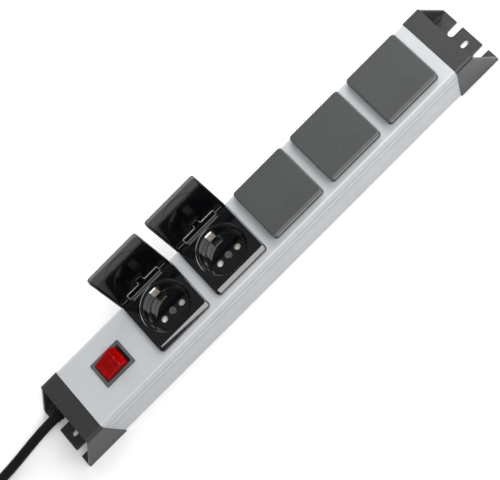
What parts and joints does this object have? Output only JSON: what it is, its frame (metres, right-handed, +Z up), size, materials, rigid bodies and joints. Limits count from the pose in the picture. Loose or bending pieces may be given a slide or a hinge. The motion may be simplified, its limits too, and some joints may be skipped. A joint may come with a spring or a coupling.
{
  "type": "desk power strip",
  "caption": "Aluminium power strip with earthed outlets under hinged lids, a lit rocker switch, screw-down end caps and a mains cord with plug.",
  "frame": {"origin": "on the table, under the middle of the strip, on the base plate's underside", "axes": "+X along the strip from the cord's end to the far end, +Y towards the lids' hinges, +Z up"},
  "size_m": [0.6476, 0.1254, 0.0947],
  "materials": {
    "aluminium": "satin silver-anodised",
    "grey_plastic": "matte moulded",
    "cap_plastic": "fine matte grain, dark grey",
    "zinc_steel": "zinc plated",
    "white_plastic": "matte moulded",
    "brass": "stamped strip",
    "bezel_plastic": "fine matte grain, mid grey",
    "red_rocker": "clear red, glossy",
    "lamp_glass": "small neon lamp",
    "brown_wire": "smooth insulation",
    "blue_wire": "smooth insulation",
    "green_yellow_wire": "smooth insulation",
    "cord_rubber": "satin black jacket",
    "tie_fabric": "woven hook-and-loop strap",
    "plug_plastic": "satin black moulding",
    "nickel": "bright nickel-plated spring metal",
    "socket_plastic": "glossy black",
    "lid_plastic": "fine matte grain outside, glossy black inside",
    "shutter_plastic": "ivory moulding"
  },
  "bodies": {
    "housing": {"profile_housing": "aluminium", "base_plate": "grey_plastic", "end_cap_cable": "cap_plastic", "end_cap_far": "cap_plastic", "end_cap_screws": "zinc_steel", "hinge_pins": "zinc_steel", "socket_screws": "zinc_steel", "rail_carrier": "white_plastic", "live_rail": "brass", "neutral_rail": "brass", "earth_rail": "brass", "switch_housing": "bezel_plastic", "switch_terminals": "zinc_steel", "wire_live_in": "brown_wire", "wire_live_out": "brown_wire", "wire_neutral_in": "blue_wire", "wire_neutral_out": "blue_wire", "wire_earth": "green_yellow_wire", "strain_relief": "cord_rubber", "cord_sheath_end": "cord_rubber", "cord_clamp_saddle": "grey_plastic", "cord_clamp_bar": "grey_plastic", "cord_clamp_screws": "zinc_steel", "cord_lead": "cord_rubber", "cord_coil": "cord_rubber", "cord_tail": "cord_rubber", "cord_tie": "tie_fabric", "plug_body": "plug_plastic", "plug_pins": "nickel", "plug_earth_strips": "nickel", "socket_1_frame": "socket_plastic", "socket_1_earth_clip": "nickel", "socket_2_frame": "socket_plastic", "socket_2_earth_clip": "nickel", "socket_3_frame": "socket_plastic", "socket_3_earth_clip": "nickel", "socket_4_frame": "socket_plastic", "socket_4_earth_clip": "nickel", "socket_5_frame": "socket_plastic", "socket_5_earth_clip": "nickel"},
    "lid_1": {"socket_1_lid": "lid_plastic", "socket_1_lid_spring": "zinc_steel"},
    "lid_2": {"socket_2_lid": "lid_plastic", "socket_2_lid_spring": "zinc_steel"},
    "lid_3": {"socket_3_lid": "lid_plastic", "socket_3_lid_spring": "zinc_steel"},
    "lid_4": {"socket_4_lid": "lid_plastic", "socket_4_lid_spring": "zinc_steel"},
    "lid_5": {"socket_5_lid": "lid_plastic", "socket_5_lid_spring": "zinc_steel"},
    "shutter_1": {"socket_1_shutter": "shutter_plastic"},
    "shutter_2": {"socket_2_shutter": "shutter_plastic"},
    "shutter_3": {"socket_3_shutter": "shutter_plastic"},
    "shutter_4": {"socket_4_shutter": "shutter_plastic"},
    "shutter_5": {"socket_5_shutter": "shutter_plastic"},
    "rocker": {"switch_rocker": "red_rocker", "switch_lamp": "lamp_glass"}
  },
  "joints": [
    {"name": "lid_1_hinge", "type": "hinge", "parent": "housing", "child": "lid_1", "pos_m": [-0.093, 0.0262, 0.0452], "axis": [-1, 0, 0], "range_deg": [-104, 0]},
    {"name": "lid_2_hinge", "type": "hinge", "parent": "housing", "child": "lid_2", "pos_m": [-0.0305, 0.0262, 0.0452], "axis": [-1, 0, 0], "range_deg": [-104, 0]},
    {"name": "lid_3_hinge", "type": "hinge", "parent": "housing", "child": "lid_3", "pos_m": [0.032, 0.0262, 0.0452], "axis": [-1, 0, 0], "range_deg": [0, 104]},
    {"name": "lid_4_hinge", "type": "hinge", "parent": "housing", "child": "lid_4", "pos_m": [0.0945, 0.0262, 0.0452], "axis": [-1, 0, 0], "range_deg": [0, 104]},
    {"name": "lid_5_hinge", "type": "hinge", "parent": "housing", "child": "lid_5", "pos_m": [0.157, 0.0262, 0.0452], "axis": [-1, 0, 0], "range_deg": [0, 104]},
    {"name": "shutter_1_turn", "type": "hinge", "parent": "housing", "child": "shutter_1", "pos_m": [-0.093, 0.002, 0.0221], "axis": [0, 0, 1], "range_deg": [0, 40], "stiffness_Nm_per_rad": 0.01, "springref_deg": -8.59},
    {"name": "shutter_2_turn", "type": "hinge", "parent": "housing", "child": "shutter_2", "pos_m": [-0.0305, 0.002, 0.0221], "axis": [0, 0, 1], "range_deg": [0, 40], "stiffness_Nm_per_rad": 0.01, "springref_deg": -8.59},
    {"name": "shutter_3_turn", "type": "hinge", "parent": "housing", "child": "shutter_3", "pos_m": [0.032, 0.002, 0.0221], "axis": [0, 0, 1], "range_deg": [0, 40], "stiffness_Nm_per_rad": 0.01, "springref_deg": -8.59},
    {"name": "shutter_4_turn", "type": "hinge", "parent": "housing", "child": "shutter_4", "pos_m": [0.0945, 0.002, 0.0221], "axis": [0, 0, 1], "range_deg": [0, 40], "stiffness_Nm_per_rad": 0.01, "springref_deg": -8.59},
    {"name": "shutter_5_turn", "type": "hinge", "parent": "housing", "child": "shutter_5", "pos_m": [0.157, 0.002, 0.0221], "axis": [0, 0, 1], "range_deg": [0, 40], "stiffness_Nm_per_rad": 0.01, "springref_deg": -8.59},
    {"name": "rocker_tilt", "type": "hinge", "parent": "housing", "child": "rocker", "pos_m": [-0.155, 0.0007, 0.0346], "axis": [0, 1, 0], "range_deg": [0, 40]}
  ]
}
